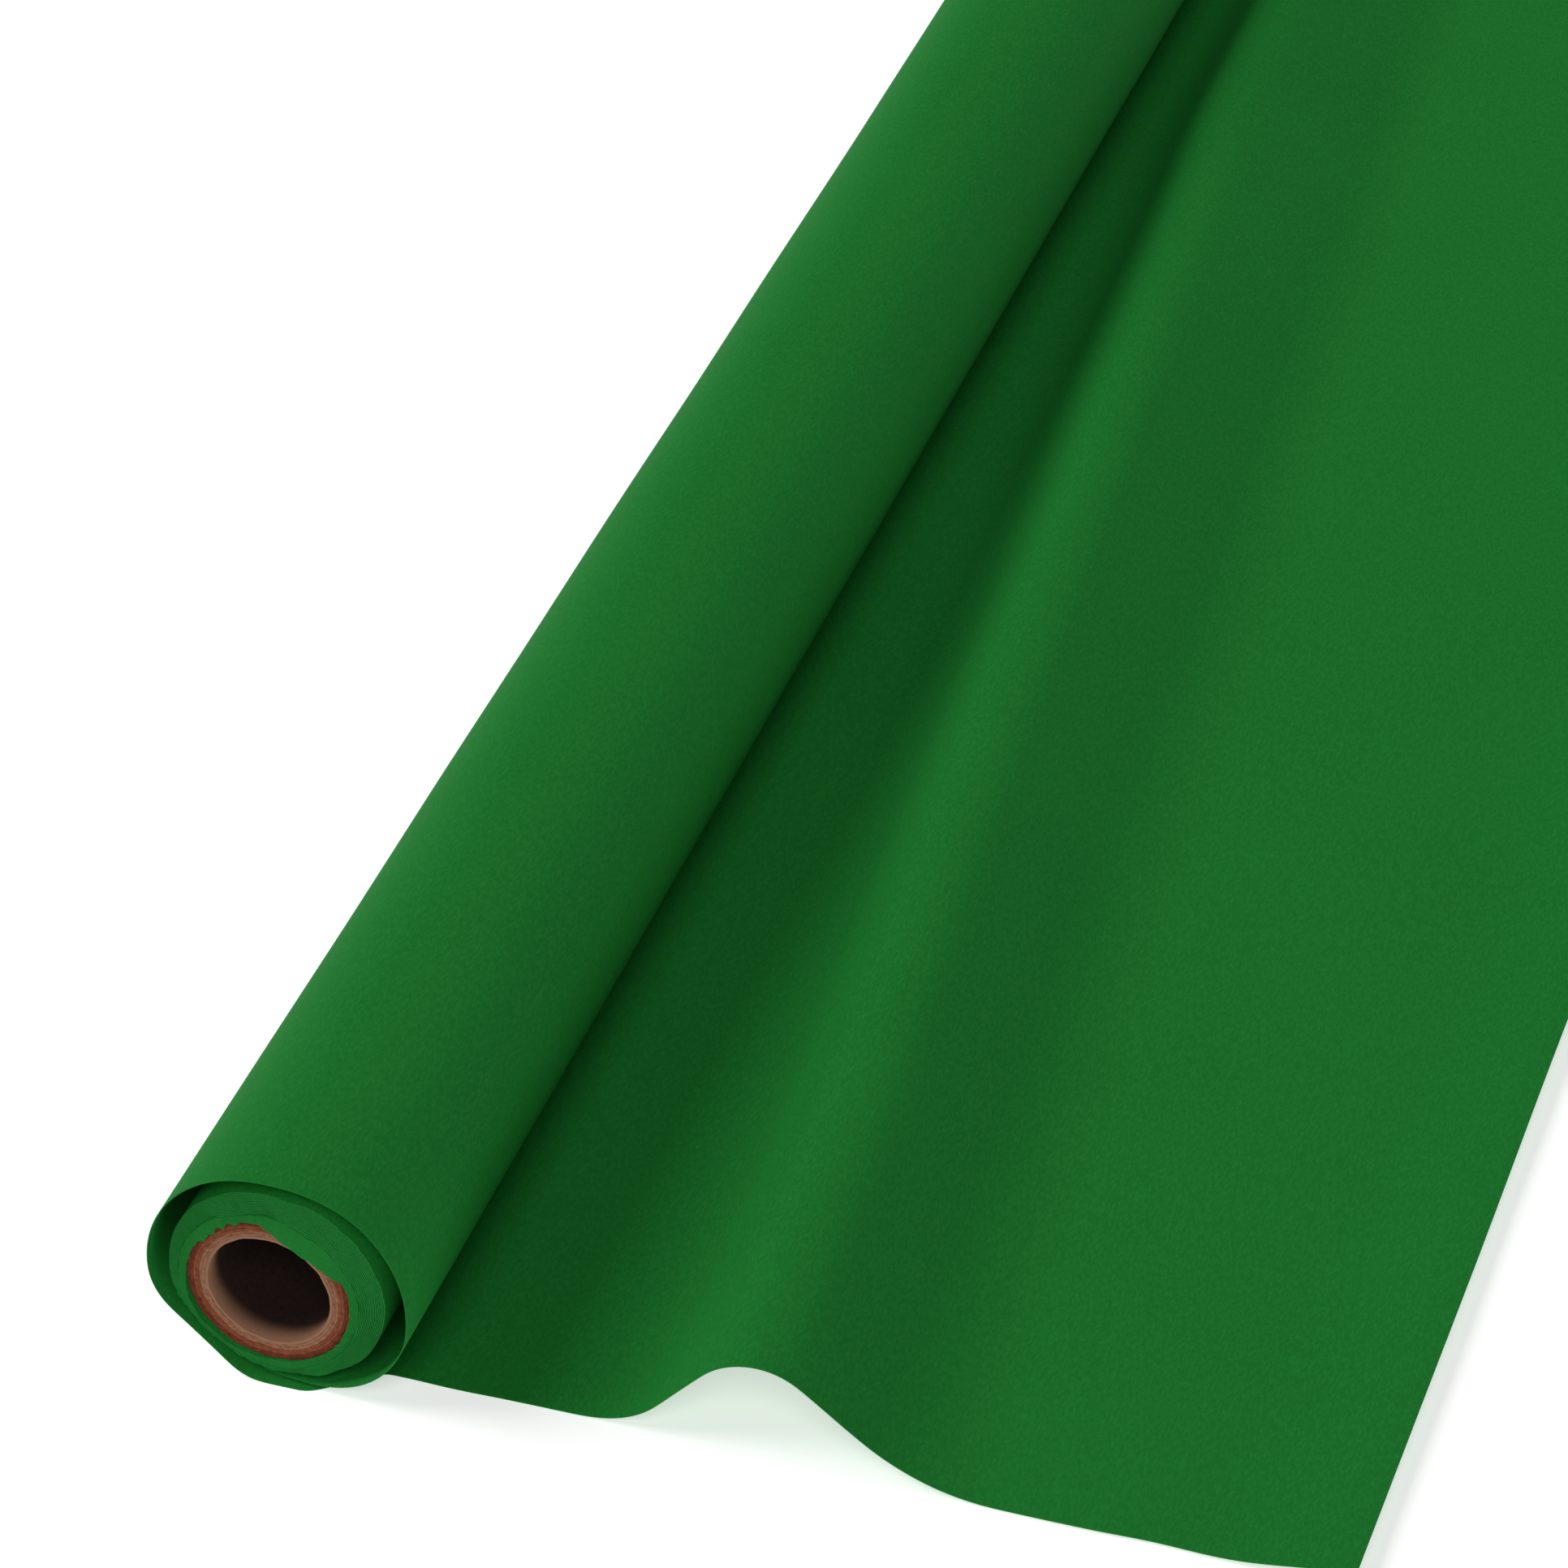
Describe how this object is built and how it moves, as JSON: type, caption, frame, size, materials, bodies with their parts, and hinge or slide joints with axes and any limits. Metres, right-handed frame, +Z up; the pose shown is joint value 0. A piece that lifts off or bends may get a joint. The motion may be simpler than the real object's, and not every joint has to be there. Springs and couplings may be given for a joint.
{
  "type": "backdrop paper roll",
  "caption": "Seamless green backdrop paper wound on a cardboard core, lying on the floor with its free end drawn out over one fold.",
  "frame": {"origin": "on the axis of the core's bore, halfway along the core", "axes": "+Y along the core from the near end to the far end, +X the way the sheet is drawn out, +Z up"},
  "size_m": [0.4975, 1.37, 0.1022],
  "materials": {
    "green_paper": "uncoated, matt",
    "core_face_board": "raw reddish-brown board",
    "core_body_board": "raw brown board",
    "core_liner_board": "raw tan board",
    "masking_tape": "creped paper tape"
  },
  "bodies": {
    "sheet": {"drawn_sheet": "green_paper", "outer_turn": "green_paper", "slack_turns": "green_paper"},
    "roll": {"core_liner_ply": "core_liner_board", "core_body_ply_1": "core_body_board", "core_body_ply_2": "core_body_board", "core_body_ply_3": "core_body_board", "core_body_ply_4": "core_body_board", "core_body_ply_5": "core_body_board", "core_face_ply": "core_face_board", "start_tape": "masking_tape", "wound_paper": "green_paper"}
  },
  "joints": [
    {"name": "roll_turn", "type": "hinge", "parent": "sheet", "child": "roll", "pos_m": [0, 0, 0], "axis": [0, -1, 0], "continuous": true}
  ]
}
